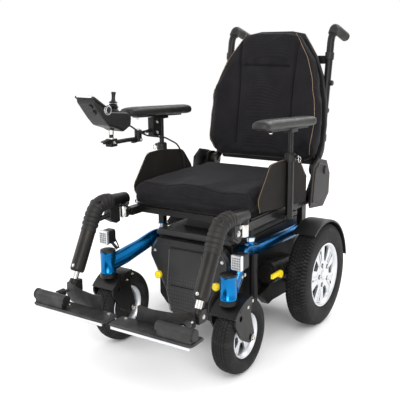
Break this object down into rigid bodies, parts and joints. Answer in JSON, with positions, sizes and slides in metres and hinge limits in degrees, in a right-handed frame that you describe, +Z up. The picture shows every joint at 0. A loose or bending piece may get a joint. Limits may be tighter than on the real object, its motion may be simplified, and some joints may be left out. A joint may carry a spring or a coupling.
{
  "type": "power wheelchair",
  "caption": "Rear-drive power wheelchair with reclining back, height-adjustable armrests, swing-away joystick and elevating swing-away legrests.",
  "frame": {"origin": "on the ground, at the middle of the chair's width and length", "axes": "+Z up, -Y the way the user faces, +X the user's left"},
  "size_m": [0.596, 1.1357, 1.0033],
  "materials": {
    "blue_paint": "metallic gloss",
    "black_paint": "satin powder coat",
    "black_plastic": "fine grained",
    "grey_plastic": "fine grained",
    "yellow_plastic": "smooth",
    "tyre_rubber": "matte",
    "grip_rubber": "matte, ribbed",
    "alloy": "satin",
    "fabric": "woven",
    "arm_foam": "soft matte skin",
    "lens": "clear",
    "cable": "smooth sheath",
    "battery_case": "smooth"
  },
  "bodies": {
    "chassis": {"chassis_frame": "blue_paint", "battery_box": "black_plastic", "battery_front": "battery_case", "battery_rear": "battery_case", "top_cover": "grey_plastic", "front_shroud": "black_plastic", "seat_frame": "black_paint", "seat_cushion": "fabric", "joystick_lead": "cable", "rear_fender_left": "black_plastic", "rear_fender_right": "black_plastic", "tie_down_knob_left": "yellow_plastic", "tie_down_knob_right": "yellow_plastic", "gear_motor_left": "black_paint", "gear_motor_right": "black_paint", "headlight_left": "alloy", "headlight_right": "alloy", "headlight_lens_left": "lens", "headlight_lens_right": "lens", "headlight_lead_left": "cable", "headlight_lead_right": "cable", "side_guard_left": "black_plastic", "side_guard_right": "black_plastic"},
    "drive_wheel_left": {"drive_tyre_left": "tyre_rubber", "drive_rim_left": "alloy"},
    "caster_swivel_left": {"caster_fork_left": "black_paint"},
    "caster_wheel_left": {"caster_tyre_left": "tyre_rubber", "caster_rim_left": "alloy"},
    "release_left": {"freewheel_lever_left": "yellow_plastic"},
    "armrest_left": {"arm_post_left": "black_paint", "arm_pad_left": "arm_foam"},
    "hanger_left": {"legrest_hanger_left": "black_paint"},
    "legrest_left": {"legrest_tube_left": "black_paint", "knee_bellows_left": "grip_rubber"},
    "extension_left": {"legrest_extension_left": "black_paint"},
    "footboard_left": {"footplate_left": "black_plastic"},
    "drive_wheel_right": {"drive_tyre_right": "tyre_rubber", "drive_rim_right": "alloy"},
    "caster_swivel_right": {"caster_fork_right": "black_paint"},
    "caster_wheel_right": {"caster_tyre_right": "tyre_rubber", "caster_rim_right": "alloy"},
    "release_right": {"freewheel_lever_right": "yellow_plastic"},
    "armrest_right": {"arm_post_right": "black_paint", "arm_pad_right": "arm_foam", "joystick_rod": "black_paint"},
    "hanger_right": {"legrest_hanger_right": "black_paint"},
    "legrest_right": {"legrest_tube_right": "black_paint", "knee_bellows_right": "grip_rubber"},
    "extension_right": {"legrest_extension_right": "black_paint"},
    "footboard_right": {"footplate_right": "black_plastic"},
    "backrest": {"back_cushion": "fabric", "back_shell": "black_plastic", "back_frame": "black_paint", "push_grip_left": "grip_rubber", "push_grip_right": "grip_rubber"},
    "joystick_arm": {"joystick_swing": "black_paint", "joystick_pod": "black_plastic", "joystick_gaiter": "grip_rubber"},
    "gimbal": {"joystick_gimbal": "alloy"},
    "stick": {"joystick_stick": "black_plastic"}
  },
  "joints": [
    {"name": "drive_spin_left", "type": "hinge", "parent": "chassis", "child": "drive_wheel_left", "pos_m": [0.26, 0.216, 0.176], "axis": [1, 0, 0], "continuous": true},
    {"name": "caster_swivel_left", "type": "hinge", "parent": "chassis", "child": "caster_swivel_left", "pos_m": [0.2205, -0.3, 0.277], "axis": [0, 0, 1], "continuous": true},
    {"name": "caster_spin_left", "type": "hinge", "parent": "caster_swivel_left", "child": "caster_wheel_left", "pos_m": [0.2205, -0.24, 0.115], "axis": [1, 0, 0], "continuous": true},
    {"name": "freewheel_release_left", "type": "hinge", "parent": "chassis", "child": "release_left", "pos_m": [0.2209, 0.024, 0.222], "axis": [-1, 0, 0], "range_deg": [0, 60]},
    {"name": "armrest_height_left", "type": "slide", "parent": "chassis", "child": "armrest_left", "axis": [0, 0, 1], "range_m": [-0.03, 0.06]},
    {"name": "legrest_swing_left", "type": "hinge", "parent": "chassis", "child": "hanger_left", "pos_m": [0.22, -0.218, 0.468], "axis": [0, 0, 1], "range_deg": [0, 90]},
    {"name": "legrest_elevate_left", "type": "hinge", "parent": "hanger_left", "child": "legrest_left", "pos_m": [0.22, -0.344, 0.474], "axis": [-1, 0, 0], "range_deg": [0, 50]},
    {"name": "legrest_extend_left", "type": "slide", "parent": "legrest_left", "child": "extension_left", "axis": [0, -0.4633, -0.8862], "range_m": [0, 0.08]},
    {"name": "footplate_flip_left", "type": "hinge", "parent": "extension_left", "child": "footboard_left", "pos_m": [0.22, -0.498, 0.24], "axis": [0, 1, 0], "range_deg": [0, 85]},
    {"name": "drive_spin_right", "type": "hinge", "parent": "chassis", "child": "drive_wheel_right", "pos_m": [-0.26, 0.216, 0.176], "axis": [1, 0, 0], "continuous": true},
    {"name": "caster_swivel_right", "type": "hinge", "parent": "chassis", "child": "caster_swivel_right", "pos_m": [-0.2205, -0.3, 0.277], "axis": [0, 0, 1], "continuous": true},
    {"name": "caster_spin_right", "type": "hinge", "parent": "caster_swivel_right", "child": "caster_wheel_right", "pos_m": [-0.2205, -0.24, 0.115], "axis": [1, 0, 0], "continuous": true},
    {"name": "freewheel_release_right", "type": "hinge", "parent": "chassis", "child": "release_right", "pos_m": [-0.2209, 0.024, 0.222], "axis": [-1, 0, 0], "range_deg": [0, 60]},
    {"name": "armrest_height_right", "type": "slide", "parent": "chassis", "child": "armrest_right", "axis": [0, 0, 1], "range_m": [-0.03, 0.06], "deforming": ["joystick_lead"]},
    {"name": "legrest_swing_right", "type": "hinge", "parent": "chassis", "child": "hanger_right", "pos_m": [-0.22, -0.218, 0.468], "axis": [0, 0, -1], "range_deg": [0, 90]},
    {"name": "legrest_elevate_right", "type": "hinge", "parent": "hanger_right", "child": "legrest_right", "pos_m": [-0.22, -0.344, 0.474], "axis": [-1, 0, 0], "range_deg": [0, 50]},
    {"name": "legrest_extend_right", "type": "slide", "parent": "legrest_right", "child": "extension_right", "axis": [0, -0.4633, -0.8862], "range_m": [0, 0.08]},
    {"name": "footplate_flip_right", "type": "hinge", "parent": "extension_right", "child": "footboard_right", "pos_m": [-0.22, -0.498, 0.24], "axis": [0, -1, 0], "range_deg": [0, 85]},
    {"name": "backrest_recline", "type": "hinge", "parent": "chassis", "child": "backrest", "pos_m": [0, 0.308, 0.52], "axis": [-1, 0, 0], "range_deg": [0, 30]},
    {"name": "joystick_swing_out", "type": "hinge", "parent": "armrest_right", "child": "joystick_arm", "pos_m": [-0.241, -0.106, 0.652], "axis": [0, 0, -1], "range_deg": [0, 90]},
    {"name": "stick_fore_aft", "type": "hinge", "parent": "joystick_arm", "child": "gimbal", "pos_m": [-0.241, -0.22748, 0.73642], "axis": [1, 0, 0], "range_deg": [-15, 15], "stiffness_Nm_per_rad": 0.15},
    {"name": "stick_side", "type": "hinge", "parent": "gimbal", "child": "stick", "pos_m": [-0.241, -0.22748, 0.73642], "axis": [0, 0.9945, -0.1045], "range_deg": [-15, 15], "stiffness_Nm_per_rad": 0.15}
  ]
}
